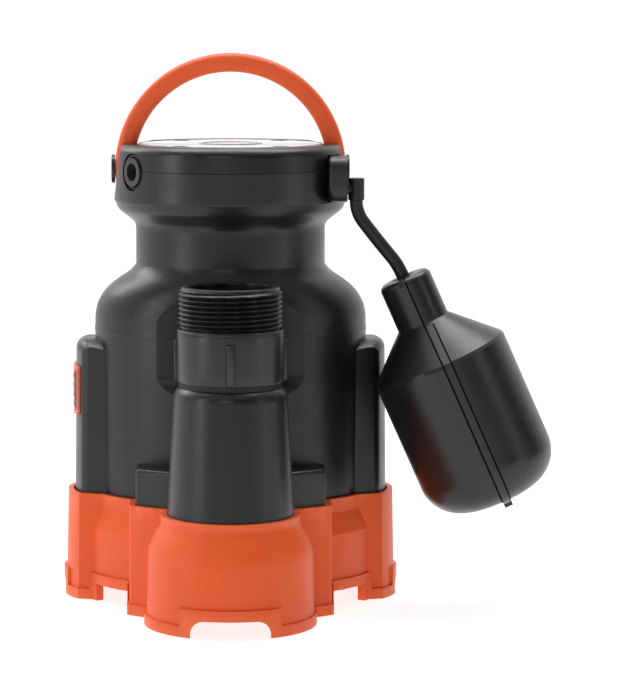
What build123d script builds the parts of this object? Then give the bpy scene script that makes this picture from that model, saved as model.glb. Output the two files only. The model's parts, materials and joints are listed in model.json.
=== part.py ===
from build123d import *
import math
import os

# Submersible sump pump with a tethered float switch.  Millimetres, +Z up,
# origin on the motor axis at the plane the feet stand on, discharge towards -Y.

# ---------------------------------------------------------------- dimensions
BODY_A, BODY_B = 66.2, 51.0          # half-axes of the oval motor housing
WALL = 3.5                           # housing wall
NECK_R, NECK_BORE = 46.0, 42.5       # round neck under the head
HEAD_R = 56.7                        # round head
PART_Z, CAP_Z = 208.5, 220.5         # parting plane and top of the cap
RIM_Z, SKIRT_Z = 51.5, 45.5          # base rim; lower edge of the housing inside it
PAD_X, PAD_R, PAD_Y, PAD_TOP = 76.4, 38.0, 22.0, 126.0   # side pads
BADGE_Z = 100.9
BOSS_R, BOSS_X0, BOSS_X1, BOSS_TOP = 70.8, 26.0, 45.0, 69.0
RISER_Y = -77.3                      # discharge axis
RISER_R0, RISER_R1, RISER_TOP = 29.7, 26.2, 111.4
FACET_Y = -43.2                      # flat recess behind the discharge adapter
RIM_T = 2.8                          # base wall
PASS_R = 19.4                        # clear discharge passage
THREAD_R, THREAD_ROOT, PITCH = 24.13, 22.75, 2.209   # 1-1/2 inch pipe thread, 11.5 per inch
COLLAR_R, COLLAR_Z0, COLLAR_Z1, THREAD_TOP = 24.8, 113.8, 138.3, 157.9
NOTCH_H, LIP_H, LIP_T = 8.2, 5.0, 1.2
DECK_Z0, DECK_Z1 = 10.0, 13.0        # strainer deck inside the base
WEB_X = 56.0                         # half-length of the web under the deck
NOTCH_AZ = [33.0, 147.0, 213.0, 327.0]   # wall notches between pads and bosses
PIVOT_Z = 208.0                      # handle pivot
HANDLE_R, HANDLE_T, HANDLE_D = 56.0, 9.0, 12.0
HANDLE_SWING = 60.0                  # fold-back angle
CAP_SCREWS = [(-24.0, -30.5), (24.0, -30.5), (-24.0, 30.5), (24.0, 30.5)]
BASE_SCREWS = [(-37.0, -55.0), (37.0, -55.0), (-37.0, 55.0), (37.0, 55.0)]
PORT_AZ = 213.6                      # power-cable gland, degrees about +Z
BLOCK_Y, BLOCK_Z = -31.0, 204.9      # float-cord block
CORD_R = 3.1
FLOAT_O, FLOAT_TILT = (82.6, -31.0, 158.0), 24.0
NECK_FR, NECK_FL, FLOAT_R, SHOULDER, FLOAT_LEN, FLOAT_WALL = 12.75, 23.5, 33.2, 43.0, 116.5, 2.4
STATOR_R, STATOR_BORE, ROTOR_R = 38.5, 22.5, 22.0
CORE_Z0, CORE_Z1 = 80.0, 122.0
SHAFT_R, BRG_R = 6.0, 16.0

os.makedirs("parts", exist_ok=True)

# outer silhouette of the shoulder: half-widths across X and along Y at each height
DOME_Z = 129.0                       # where the shoulder starts to curve in
DOME = [(DOME_Z, BODY_A, BODY_B), (132.0, BODY_A, BODY_B), (135.0, BODY_A - 0.05, BODY_B - 0.01),
        (138.0, 65.95, 50.97), (141.0, 65.4, 50.9), (143.0, 64.8, 50.8), (145.0, 63.8, 50.6),
        (147.0, 62.7, 50.4), (149.0, 61.2, 50.1), (151.0, 59.4, 49.7), (153.0, 57.0, 49.3),
        (155.0, 54.3, 48.8), (157.0, 51.2, 48.2), (159.0, 48.6, 47.3), (161.0, 46.8, 46.5),
        (163.5, NECK_R - 0.3, NECK_R - 0.3)]


def pad_face(grow, reach, sx):
    """Plan of one side pad: rounded outer face, side walls splaying in towards the body."""
    h = PAD_Y + grow
    xe = reach - PAD_R + math.sqrt(PAD_R ** 2 - (h - 4.0) ** 2)
    with BuildLine() as edge:
        ThreePointArc((sx * xe, -sx * (h - 4.0)), (sx * reach, 0), (sx * xe, sx * (h - 4.0)))
        Line((sx * xe, sx * (h - 4.0)), (sx * 30, sx * (h + 8.0)))
        Line((sx * 30, sx * (h + 8.0)), (sx * 30, -sx * (h + 8.0)))
        Line((sx * 30, -sx * (h + 8.0)), (sx * xe, -sx * (h - 4.0)))
    face = Face(Wire(edge.edges()))
    return face if face.normal_at().Z > 0 else -face


def boss_form(z0, z1, r0, r1, x0, x1, edge, sides=(-1, 1)):
    """Screw-boss lobes: slices of a cone between two X planes, outer edges rounded."""
    ring = Pos(0, 0, (z0 + z1) / 2) * (Cone(r0, r1, z1 - z0, mode=Mode.PRIVATE) if abs(r0 - r1) > 0.01 else Cylinder(r0, z1 - z0, mode=Mode.PRIVATE))
    out = []
    for sx in (-1, 1):
        for sy in sides:
            b = ring & (Pos(sx * (x0 + x1) / 2, sy * 60, (z0 + z1) / 2) * Box(x1 - x0, 60, z1 - z0, mode=Mode.PRIVATE))
            b = b.solids()[0]
            e = [k for k in b.edges() if abs(k.center().Z - (z0 + z1) / 2) < 2
                 and abs(k.center().Y) > 45 and abs(k.center().X) > x1 - 2]
            out.append(b.fillet(edge, e) if edge else b)
    return out


def base_form(g, z0, z1):
    """The scalloped base as a filled form, g outwards of its own outer face."""
    tall = z1 > 36
    with BuildPart() as form:
        with BuildSketch(Plane.XY.offset(z0)):
            Ellipse(72.0 + g, 60.0 + g)
        extrude(amount=min(z1, 35.0) - z0)
        if tall:
            with BuildSketch(Plane.XY.offset(35.0)) as low:
                Ellipse(72.0 + g, 60.0 + g)
            with BuildSketch(Plane.XY.offset(45.0)) as high:
                Ellipse(BODY_A + 2.9 + g, BODY_B + 2.9 + g)
            loft([low.sketch.face(), high.sketch.face()])
            with BuildSketch(Plane.XY.offset(45.0)) as band:
                Ellipse(BODY_A + 2.9 + g, BODY_B + 2.9 + g)
            extrude(band.sketch, amount=z1 - 45.0)
        for sx in (-1, 1):
            with BuildSketch(Plane.XY.offset(z0)) as pad:
                add(pad_face(3.6 + g, 80.8 + g, sx))
            extrude(pad.sketch, amount=z1 - z0, taper=1.2 if tall else 0)
        for b in boss_form(z0, z1, 77.0 + g - z0 * 0.06, 77.0 + g - z1 * 0.06, 20.0, BOSS_X1 + 3.0 + g, 3.0):
            add(b)
        with BuildSketch(Plane.XZ) as side:
            with BuildLine():
                if tall:
                    Polyline((0, z0), (39.3 + g, z0), (38.6 + g, 32.0))
                    Spline((38.6 + g, 32.0), (37.2 + g, 38.5), (34.0 + g, 44.5), (32.6 + g, 48.0),
                           tangents=[(-0.02, 1), (-0.1, 1)])
                    Polyline((32.6 + g, 48.0), (32.6 + g, z1), (0, z1), (0, z0))
                else:
                    Polyline((0, z0), (39.3 + g, z0), (39.2 + g, z1), (0, z1), (0, z0))
            make_face()
        lobe = revolve(side.sketch, axis=Axis.Z, mode=Mode.PRIVATE)
        add(Pos(0, RISER_Y, 0) * lobe)
    return form.part


def body_outline(grow):
    """Plan of the housing below the dome: oval body and side pads."""
    with BuildSketch() as s:
        Ellipse(BODY_A + grow, BODY_B + grow)
        for sx in (-1, 1):
            add(pad_face(grow, PAD_X + grow, sx))
    return s.sketch


def dome_loft(grow):
    """Shoulder from the oval body up to the round neck, through its measured sections."""
    with BuildPart() as d:
        faces = []
        for z, a, b in DOME:
            with BuildSketch(Plane.XY.offset(z)) as sec:
                Ellipse(a + grow, b + grow + (0.001 if a == b else 0))
            faces.append(sec.sketch.face())
        loft(faces)
    return d.part


def ring(z0, z1, r_out, r_in=0.0, at=(0, 0)):
    """A plain ring or disc between two heights."""
    r = Pos(at[0], at[1], (z0 + z1) / 2) * Cylinder(r_out, z1 - z0, mode=Mode.PRIVATE)
    if r_in:
        r -= Pos(at[0], at[1], (z0 + z1) / 2) * Cylinder(r_in, z1 - z0 + 2, mode=Mode.PRIVATE)
    return r


def radial(azimuth, radius, z):
    a = math.radians(azimuth)
    return Plane(origin=(radius * math.cos(a), radius * math.sin(a), z),
                 x_dir=(-math.sin(a), math.cos(a), 0), z_dir=(math.cos(a), math.sin(a), 0))


def shape(*pieces):
    """Join loose pieces into one part; a piece group stays as separate solids."""
    with BuildPart() as p:
        for k in pieces:
            add(k)
    return p


def write(builder, name):
    builder.part.label = name
    export_step(builder.part, "parts/" + name + ".step")


# ---------------------------------------------------------------- strainer base
with BuildPart() as strainer_base:
    add(base_form(0, 0, RIM_Z))
    add(base_form(LIP_T, 0, LIP_H))                        # raised lip round the feet
    # lip rising round each notch
    lip_over = base_form(LIP_T, 0, NOTCH_H + LIP_H)
    with BuildPart(mode=Mode.PRIVATE) as over:
        with Locations((0, -100, 0)):
            Box(2 * 18.5 + 10, 60, 2 * (NOTCH_H + LIP_H))
        with Locations((0, 70, 0)):
            Box(2 * 15 + 10, 60, 2 * (NOTCH_H + LIP_H))
        with Locations((100, 0, 0), (-100, 0, 0)):
            Box(80, 2 * 9 + 8, 2 * (NOTCH_H + LIP_H))
        with Locations(*[Location((66 * math.cos(math.radians(az)), 66 * math.sin(math.radians(az)), 0), (0, 0, az))
                         for az in NOTCH_AZ]):
            Box(50, 34, 2 * (NOTCH_H + LIP_H))
    add(lip_over & over.part)
    add(base_form(-RIM_T, -0.5, DECK_Z0), mode=Mode.SUBTRACT)
    add(base_form(-RIM_T, DECK_Z1, RIM_Z + 1), mode=Mode.SUBTRACT)
    # rebate that takes the housing skirt
    with BuildSketch(Plane.XY.offset(SKIRT_Z - 0.5)) as rebate:
        add(body_outline(0.3))
        with Locations((0, RISER_Y)):
            Circle(RISER_R0 + 0.3)
    extrude(rebate.sketch, amount=8, mode=Mode.SUBTRACT)
    for b in boss_form(SKIRT_Z - 0.5, RIM_Z + 1, BOSS_R + 0.3, BOSS_R + 0.3, 22.0, BOSS_X1 + 0.3, 2.5):
        add(b, mode=Mode.SUBTRACT)
    # screw posts from the deck up to the housing skirt
    with Locations(*[(x, y, (DECK_Z1 + SKIRT_Z) / 2 - 0.05) for x, y in BASE_SCREWS]):
        Cylinder(6.0, SKIRT_Z - DECK_Z1 + 0.1)
    # suction eye and screw holes
    with Locations((0, 0, DECK_Z0)):
        Cylinder(21.0, 20, mode=Mode.SUBTRACT)
    with Locations(*[(x, y, 20) for x, y in BASE_SCREWS]):
        Cylinder(2.3, 80, mode=Mode.SUBTRACT)
    with Locations(*[(x, y, DECK_Z0 + 0.5) for x, y in BASE_SCREWS]):
        Cylinder(4.6, 4.0, mode=Mode.SUBTRACT)
    # foot notches with rounded upper corners
    with BuildSketch(Plane.XZ.offset(60)) as front_notch:
        with Locations((0, -5)):
            Rectangle(37, 2 * NOTCH_H + 10)
        fillet(front_notch.vertices().group_by(Axis.Y)[-1], 6.5)
    extrude(front_notch.sketch, amount=80, mode=Mode.SUBTRACT)
    with BuildSketch(Plane.XZ.offset(-80)) as back_notch:
        with Locations((0, -5)):
            Rectangle(30, 2 * NOTCH_H + 10)
        fillet(back_notch.vertices().group_by(Axis.Y)[-1], 6.0)
    extrude(back_notch.sketch, amount=40, mode=Mode.SUBTRACT)
    with BuildSketch(Plane.YZ.offset(-100)) as pad_notch:
        with Locations((0, -5)):
            Rectangle(18, 2 * NOTCH_H + 10)
        fillet(pad_notch.vertices().group_by(Axis.Y)[-1], 5.0)
    extrude(pad_notch.sketch, amount=200, mode=Mode.SUBTRACT)
    for az in NOTCH_AZ:
        with BuildSketch(radial(az, 45.0, 0)) as side_notch:
            Rectangle(24, 2 * NOTCH_H)
            fillet([v for v in side_notch.vertices() if v.Z > 0], 4.5)
        extrude(side_notch.sketch, amount=50, mode=Mode.SUBTRACT)
    # web under the deck: stiffens it and bars the suction eye against stones
    with Locations((0, 0, 4.7)):
        Box(2 * WEB_X, 3.0, 9.4)
    with Locations(((WEB_X + 22.5) / 2, 0, DECK_Z0 - 0.2), (-(WEB_X + 22.5) / 2, 0, DECK_Z0 - 0.2)):
        Box(WEB_X - 22.5, 3.0, 2.0)
write(shape(strainer_base.part.solids().sort_by(SortBy.VOLUME)[-1]), "strainer_base")

# ---------------------------------------------------------------- motor housing
PIVOT = (0.0, 0.0, PIVOT_Z)


def handle_pocket(sx):
    """Relief for one handle eye: a spherical channel the bail sweeps through as it folds back."""
    t = math.radians(HANDLE_SWING)
    half = HANDLE_D / 2 + 0.9
    with BuildSketch(Plane.YZ) as side:
        with Locations((0, PIVOT_Z)):
            Circle(9.4)
        lo = (half * math.cos(t), PIVOT_Z - half * math.sin(t))
        with BuildLine():
            Polyline((-half, PIVOT_Z), (-half, 245), (70, 245),
                     (lo[0] + 70 * math.sin(t), lo[1] + 70 * math.cos(t)), lo, (-half, PIVOT_Z))
        make_face()
    bar = extrude(side.sketch, amount=80 * sx, mode=Mode.PRIVATE)
    shell = Pos(*PIVOT) * (Sphere(75, mode=Mode.PRIVATE) - Sphere(HANDLE_R - HANDLE_T - 0.5, mode=Mode.PRIVATE))
    flat = (Pos(sx * 54.3, 0, PIVOT_Z) * Rotation(0, -sx * 8.2, 0)
            * (Pos(sx * 10, 0, -1.5) * Box(20, 44, 33, mode=Mode.PRIVATE)))
    return (shell & bar).solids(), flat


def rod(plane, length, r_out, r_in=0.0):
    """A rod or tube that starts on a plane and runs along its normal."""
    k = plane * (Pos(0, 0, length / 2) * Cylinder(r_out, length, mode=Mode.PRIVATE))
    if r_in:
        k -= plane * (Pos(0, 0, length / 2) * Cylinder(r_in, length + 2, mode=Mode.PRIVATE))
    return k


def head_cuts():
    """Everything let into the head across its parting plane."""
    cuts = []
    for sx in (-1, 1):
        pocket, flat = handle_pocket(sx)
        cuts += list(pocket) + [flat]
        cuts.append(rod(Plane(origin=(sx * 40, 0, PIVOT_Z), x_dir=(0, 1, 0), z_dir=(sx, 0, 0)), 10, 3.0))
    cuts.append(rod(radial(PORT_AZ, 50.5, PIVOT_Z), 12, 8.95))
    cuts.append(rod(radial(PORT_AZ, 30.0, PIVOT_Z), 25, 6.9))
    cuts.append(Pos(46.0 + 10, BLOCK_Y, BLOCK_Z) * Box(20, 20.8, 22.6, mode=Mode.PRIVATE))
    cuts.append(rod(radial(-31.8, 28.0, BLOCK_Z), 30, 3.3))
    for x, y in CAP_SCREWS:
        cuts.append(ring(192, PART_Z + 1, 1.7, at=(x, y)))
        cuts.append(ring(PART_Z - 0.01, CAP_Z + 1, 2.3, at=(x, y)))
        cuts.append(ring(215.5, CAP_Z + 1, 4.3, at=(x, y)))
    return cuts


HEAD_CUTS = head_cuts()

with BuildPart() as motor_housing:
    with BuildSketch(Plane.XY.offset(SKIRT_Z)) as oval:
        Ellipse(BODY_A, BODY_B)
    extrude(oval.sketch, amount=DOME_Z - SKIRT_Z)
    add(dome_loft(0))
    # neck, flare and lower half of the head
    with BuildSketch(Plane.XZ) as head:
        with BuildLine():
            Polyline((0, 150), (NECK_R, 150), (NECK_R, 178.5))
            Spline((NECK_R, 178.5), (46.6, 182.2), (48.7, 184.4), (52.4, 187.2), (54.9, 189.9), (56.2, 193.0),
                   (HEAD_R, 197.5), tangents=[(0, 1), (0, 1)])
            Polyline((HEAD_R, 197.5), (HEAD_R, PART_Z - 0.2), (HEAD_R - 0.2, PART_Z), (0, PART_Z), (0, 150))
        make_face()
    revolve(head.sketch, axis=Axis.Z)
    # side pads with arched tops
    for sx in (-1, 1):
        foot = pad_face(0, PAD_X, sx)
        pad = extrude(Plane.XY.offset(SKIRT_Z) * foot, amount=100, taper=0.7, mode=Mode.PRIVATE)
        with BuildSketch(Plane.YZ) as arch:
            with Locations((0, (SKIRT_Z + PAD_TOP) / 2)):
                Rectangle(2 * (PAD_Y + 7), PAD_TOP - SKIRT_Z)
            fillet(arch.vertices().group_by(Axis.Y)[-1], 22.0)
        arch_bar = extrude(arch.sketch, amount=100, both=True, mode=Mode.PRIVATE)
        pad = (pad & arch_bar).solids()[0]
        outer = [e for e in pad.edges() if abs(e.center().X) > 64 and e.center().Z > SKIRT_Z + 1]
        add(pad.fillet(5.0, outer))
    # screw bosses
    for b in boss_form(SKIRT_Z, BOSS_TOP, BOSS_R, BOSS_R, 20.0, BOSS_X1, 2.5):
        top = [e for e in b.edges() if abs(e.center().Z - BOSS_TOP) < 0.1 and abs(e.center().Y) > 34]
        add(b.fillet(2.0, top))
    # motor chamber, dome and neck bore; flat inner wall behind the recess
    with BuildPart(mode=Mode.PRIVATE) as chamber:
        with BuildSketch(Plane.XY.offset(SKIRT_Z - 1)) as bore:
            Ellipse(BODY_A - WALL, BODY_B - WALL)
        extrude(bore.sketch, amount=DOME_Z + 1 - SKIRT_Z)
        add(dome_loft(-WALL))
        with Locations((0, 0, 172)):
            Cylinder(NECK_BORE, 40)
        with Locations((0, 0, 200)):
            Cylinder(34.5, 40)
        with Locations((0, FACET_Y + WALL - 30, 125.5)):
            Box(100, 60, 65, mode=Mode.SUBTRACT)
    add(chamber.part, mode=Mode.SUBTRACT)
    # recess that clears the discharge adapter, with an arched top and a scooped lip
    with BuildSketch(Plane.YZ) as scoop:
        with BuildLine():
            Polyline((-110, 190), (FACET_Y, 190), (FACET_Y, 112.4))
            ThreePointArc((FACET_Y, 112.4), (-48.4, 101.2), (-58.2, 97.4))
            Polyline((-58.2, 97.4), (-110, 97.4), (-110, 190))
        make_face()
    scoop_bar = extrude(scoop.sketch, amount=60, both=True, mode=Mode.PRIVATE)
    with BuildSketch(Plane.XZ.offset(30)) as arched:
        with Locations((0, 134)):
            Ellipse(35.6, 19.3)
        with Locations((0, 112)):
            Rectangle(71.2, 44)
    arch_cut = extrude(arched.sketch, amount=80, mode=Mode.PRIVATE)
    add(scoop_bar & arch_cut, mode=Mode.SUBTRACT)
    # discharge riser
    with BuildSketch(Plane.XZ) as riser:
        with BuildLine():
            Polyline((0, SKIRT_Z), (RISER_R0, SKIRT_Z), (RISER_R0, RIM_Z), (26.7, 105.0))
            Spline((26.7, 105.0), (26.1, 108.6), (24.4, 110.9), (23.6, RISER_TOP), tangents=[(-0.055, 1), (-1, 0.2)])
            Polyline((23.6, RISER_TOP), (0, RISER_TOP), (0, SKIRT_Z))
        make_face()
    riser_form = revolve(riser.sketch, axis=Axis.Z, mode=Mode.PRIVATE)
    add(Pos(0, RISER_Y, 0) * riser_form)
    with Locations((0, RISER_Y, 78)):
        Cylinder(PASS_R, 80, mode=Mode.SUBTRACT)
    with Locations((0, RISER_Y, 108)):
        Cylinder(22.2, 20, mode=Mode.SUBTRACT)
    with Locations(*[(x, y, 50) for x, y in BASE_SCREWS]):
        Cylinder(1.9, 24, mode=Mode.SUBTRACT)
    for c in HEAD_CUTS:
        add(c, mode=Mode.SUBTRACT)
write(motor_housing, "motor_housing")

# badge plate on the left pad: a plain raised frame
with BuildPart() as badge_plate:
    with BuildSketch(Plane.YZ) as plate:
        with Locations((0, BADGE_Z)):
            RectangleRounded(28, 24, 3.0)
    frame_bar = extrude(plate.sketch, amount=-90, mode=Mode.PRIVATE)
    skin = (Pos(-(PAD_X - PAD_R), 0, BADGE_Z) * (Cylinder(PAD_R + 0.55, 40, mode=Mode.PRIVATE) - Cylinder(PAD_R - 0.95, 40, mode=Mode.PRIVATE)))
    add(((skin & frame_bar) - motor_housing.part).solids().sort_by(Axis.X)[0])

# ---------------------------------------------------------------- top cap and plate
with BuildPart() as top_cap:
    with BuildSketch(Plane.XZ) as half:
        with BuildLine():
            Polyline((0, PART_Z), (HEAD_R - 0.2, PART_Z), (HEAD_R, PART_Z + 0.2), (56.3, 215.6))
            Spline((56.3, 215.6), (55.2, 218.6), (53.4, 220.0), (51.2, CAP_Z), tangents=[(-0.05, 1), (-1, 0)])
            Polyline((51.2, CAP_Z), (0, CAP_Z), (0, PART_Z))
        make_face()
    revolve(half.sketch, axis=Axis.Z)
    add(ring(PART_Z - 1, 215.0, 34.5), mode=Mode.SUBTRACT)
    add(ring(PART_Z - 1, PART_Z + 1.2, 36.6, 35.0), mode=Mode.SUBTRACT)      # gasket groove
    add(ring(219.3, CAP_Z + 1, 44.3), mode=Mode.SUBTRACT)                    # seat of the top plate
    for c in HEAD_CUTS:
        add(c, mode=Mode.SUBTRACT)
write(top_cap, "top_cap")

with BuildPart() as cap_gasket:
    add(ring(PART_Z, PART_Z + 1.2, 36.6, 35.0))
    add(rod(radial(PORT_AZ, 30.0, PIVOT_Z), 25, 6.9), mode=Mode.SUBTRACT)
write(cap_gasket, "cap_gasket")

with BuildPart() as top_plate:
    add(ring(219.3, 220.3, 44.1))
    add(ring(220.3, 220.75, 15.5, 13.9))
    for x, y in CAP_SCREWS:
        add(ring(219, 222, 4.4, at=(x, y)), mode=Mode.SUBTRACT)
write(top_plate, "top_plate")

screws = []
for x, y in CAP_SCREWS:
    screws += [ring(215.5, 219.4, 4.1, at=(x, y)) - Pos(x, y, 219.4) * Box(5.4, 1.2, 2.4, mode=Mode.PRIVATE)
               - Pos(x, y, 219.4) * Box(1.2, 5.4, 2.4, mode=Mode.PRIVATE) + ring(193, 215.5, 1.7, at=(x, y))]
cap_screws = shape(*screws)
write(cap_screws, "cap_screws")

# ---------------------------------------------------------------- discharge
with BuildPart() as discharge_adapter:
    with BuildSketch(Plane.XZ) as side:
        n = int((THREAD_TOP - 1.2 - COLLAR_Z1 - 0.6) / PITCH)
        pts = [(PASS_R, 98.5), (22.1, 98.5), (22.1, COLLAR_Z0), (COLLAR_R, COLLAR_Z0), (COLLAR_R, COLLAR_Z1 - 0.5),
               (COLLAR_R - 0.6, COLLAR_Z1), (THREAD_ROOT, COLLAR_Z1)]
        z = COLLAR_Z1 + 0.5
        for i in range(n):
            pts += [(THREAD_ROOT, z), (THREAD_R, z + PITCH * 0.42), (THREAD_R, z + PITCH * 0.56), (THREAD_ROOT, z + PITCH * 0.97)]
            z += PITCH
        pts += [(THREAD_ROOT, THREAD_TOP), (PASS_R, THREAD_TOP), (PASS_R, 98.5)]
        with BuildLine():
            Polyline(*pts)
        make_face()
    turned = revolve(side.sketch, axis=Axis.Z, mode=Mode.PRIVATE)
    add(Pos(0, RISER_Y, 0) * turned)
    # four wrench ribs
    for k in range(4):
        rib = Location((0, RISER_Y, 0), (0, 0, 90 * k)) * (Pos(COLLAR_R + 0.45, 0, 123.8) * Box(1.9, 3.7, 19.0, mode=Mode.PRIVATE))
        add(rib)
write(discharge_adapter, "discharge_adapter")

riser_oring = shape(ring(RISER_TOP, COLLAR_Z0, 23.9, 22.15, at=(0, RISER_Y)))
write(riser_oring, "riser_oring")

# ---------------------------------------------------------------- cable gland and float-cord exit
gland_sleeve = shape(rod(radial(PORT_AZ, 31.0, PIVOT_Z), 25.6, 6.85, 4.3))
write(gland_sleeve, "gland_sleeve")
with BuildPart() as gland_ring:
    add(rod(radial(PORT_AZ, 50.55, PIVOT_Z), 4.9, 8.85, 7.0))
    chamfer(gland_ring.faces().sort_by(Axis((0, 0, PIVOT_Z), (-0.829, -0.559, 0)))[-1].edges(), 0.6)
write(gland_ring, "gland_ring")

with BuildPart() as float_cord_block:
    with BuildSketch(Plane.YZ.offset(46.3)) as face:
        with Locations((BLOCK_Y, BLOCK_Z)):
            RectangleRounded(20.0, 21.8, 7.5)
    extrude(face.sketch, amount=9.2)
    fillet(float_cord_block.faces().sort_by(Axis.X)[0].edges(), 2.2)
    stub = rod(radial(-31.8, 32.0, BLOCK_Z), 26, 3.2) & (Pos(-1.0, 0, 200) * Box(100, 200, 200, mode=Mode.PRIVATE))
    add(stub)
    with Locations(Plane(origin=(55.5, BLOCK_Y, BLOCK_Z - 4.6), x_dir=(0, 1, 0), z_dir=(1, 0, 0))):
        Cylinder(3.0, 4.0, mode=Mode.SUBTRACT)
write(float_cord_block, "float_cord_block")

CORD_X0, ELBOW_Z0, ELBOW_Z1 = 59.9, 194.9, 205.3
with BuildPart() as float_cord_elbow:
    with Locations((CORD_X0, BLOCK_Y, (ELBOW_Z0 + ELBOW_Z1) / 2)):
        Cylinder(3.85, ELBOW_Z1 - ELBOW_Z0)
    fillet(float_cord_elbow.faces().sort_by(Axis.Z)[-1].edges(), 0.5)
    with Locations(Plane(origin=(56.6, BLOCK_Y, BLOCK_Z - 4.6), x_dir=(0, 1, 0), z_dir=(1, 0, 0))):
        Cylinder(2.95, 6.0)
write(float_cord_elbow, "float_cord_elbow")

# ---------------------------------------------------------------- float
ft = math.radians(FLOAT_TILT)
F_DOWN = (math.sin(ft), 0, -math.cos(ft))          # from the neck top towards the rounded end
F_SIDE = (math.cos(ft), 0, math.sin(ft))           # across the float, away from the pump
FP = Plane(origin=FLOAT_O, x_dir=F_SIDE, z_dir=F_DOWN)          # sections square to the float axis
FV = Plane(origin=FLOAT_O, x_dir=F_SIDE, z_dir=(0, 1, 0))       # lengthwise section, y runs down the float
F_AXIS = Axis(FLOAT_O, F_DOWN)


def float_form(g):
    """The float's outer shape grown by g, turned about its own axis."""
    with BuildSketch(FV) as prof:
        with BuildLine():
            l1 = Polyline((0, -g), (NECK_FR - 3.2, -g))
            l2 = ThreePointArc((NECK_FR - 3.2, -g), (NECK_FR - 3.2 + (3.2 + g) * 0.70711, 3.2 - (3.2 + g) * 0.70711), (NECK_FR + g, 3.2))
            l3 = Polyline((NECK_FR + g, 3.2), (NECK_FR + g, NECK_FL), (FLOAT_R + g - 0.8, SHOULDER - 0.8),
                          (FLOAT_R + g, SHOULDER + 0.8), (FLOAT_R + g, 97.5))
            l4 = ThreePointArc((FLOAT_R + g, 97.5), (FLOAT_R - 19 + (19 + g) * math.cos(math.radians(45)),
                               97.5 + (19 + g) * math.sin(math.radians(45))), (FLOAT_R - 19, 116.5 + g))
            l5 = Polyline((FLOAT_R - 19, 116.5 + g), (0, 116.5 + g), (0, -g))
        make_face()
    return revolve(prof.sketch, axis=F_AXIS, mode=Mode.PRIVATE)


def slab(x0, x1, y0=-60, y1=60, z0=-20, z1=140):
    """A block in the float's own frame."""
    return FP * (Pos((x0 + x1) / 2, (y0 + y1) / 2, (z0 + z1) / 2) * Box(x1 - x0, y1 - y0, z1 - z0, mode=Mode.PRIVATE))


outer, inner = float_form(0), float_form(-FLOAT_WALL)
flange = float_form(1.1)
inner = inner & slab(-60, 60, z0=9)
with BuildPart() as float_shell_left:
    add(outer & slab(-60, 0))
    add((outer - float_form(-0.6)) & slab(-0.55, 1.0), mode=Mode.SUBTRACT)      # seam groove
    add(inner, mode=Mode.SUBTRACT)
    add(rod(FP, 12, CORD_R + 2.5), mode=Mode.SUBTRACT)
write(float_shell_left, "float_shell_left")
with BuildPart() as float_shell_right:
    add(outer & slab(0, 60))
    add(flange & slab(0, 3.4, z0=24.5))
    add((outer - float_form(-0.6)) & slab(3.4, 4.0, z0=24.5), mode=Mode.SUBTRACT)   # groove beside the flange
    add(slab(0, 4.0, y0=-13, y1=13, z0=114, z1=120))       # closing tab at the rounded end
    add(inner & slab(0, 60), mode=Mode.SUBTRACT)
    add(rod(FP, 12, CORD_R + 2.5), mode=Mode.SUBTRACT)
write(float_shell_right, "float_shell_right")
float_neck_grommet = shape(rod(FP, 11.8, CORD_R + 2.45))
write(float_neck_grommet, "float_neck_grommet")

# ball tube, steel ball and snap switch inside the float
BALL_R, BALL_Z = 8.0, 100.0
ball_tube = shape(rod(FP.offset(48), 64, BALL_R + 2.0, BALL_R + 0.25), rod(FP.offset(110.2), 1.8, BALL_R + 2.0),
                  rod(FP.offset(70), 2.0, FLOAT_R - FLOAT_WALL - 0.1, BALL_R + 1.0),
                  slab(5.25, 8.4, y0=-5, y1=5, z0=24, z1=38), slab(8.3, 10.2, y0=-5, y1=5, z0=26, z1=50))
write(ball_tube, "float_ball_tube")
float_ball = shape(FP * (Pos(0, 0, 110.1 - BALL_R) * Sphere(BALL_R, mode=Mode.PRIVATE)))
write(float_ball, "float_ball")
with BuildPart() as float_switch:
    add(slab(-5.2, 5.2, y0=-7, y1=7, z0=20, z1=38))
    add(slab(-3.5, 3.5, y0=-4, y1=4, z0=38, z1=39.5))
write(float_switch, "float_switch")
switch_lever = shape(slab(-2.2, 2.2, y0=-7.5, y1=9.5, z0=41.0, z1=41.9),
                     FP * (Pos(0, 7.0, 41.4) * Rotation(0, 90, 0) * Cylinder(0.8, 5.6, mode=Mode.PRIVATE)))
write(switch_lever, "float_switch_lever")

# float cord: straight runs joined by tangent arcs, from the elbow to the neck
P0, P3 = (CORD_X0, ELBOW_Z0), (FLOAT_O[0], FLOAT_O[2])
ROUTE = [P0, (CORD_X0, 188.4), (P3[0] - 6.5 * math.sin(ft), P3[1] + 6.5 * math.cos(ft)), P3]
radii = []
for a, b, c in zip(ROUTE, ROUTE[1:], ROUTE[2:]):
    u, v = Vector(b[0] - a[0], b[1] - a[1]), Vector(c[0] - b[0], c[1] - b[1])
    radii.append(0.88 * min(u.length, v.length) / math.tan(math.radians(u.get_angle(v)) / 2))
print("cord arc radii", [round(r, 1) for r in radii])
with BuildPart() as float_cord:
    with BuildLine() as path:
        FilletPolyline(*[(x, BLOCK_Y, z) for x, z in ROUTE], radius=radii)
    with BuildSketch(Plane(origin=(P0[0], BLOCK_Y, P0[1]), z_dir=(ROUTE[1][0] - P0[0], 0, ROUTE[1][1] - P0[1]))) as sec:
        Circle(CORD_R)
    sweep(sec.sketch, path=path.line)
route_length = sum(e.length for e in path.line.edges())
print("cord length", round(route_length, 1), "volume ratio",
      round(float_cord.part.volume / (route_length * math.pi * CORD_R ** 2), 4))
write(float_cord, "float_cord")

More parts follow.
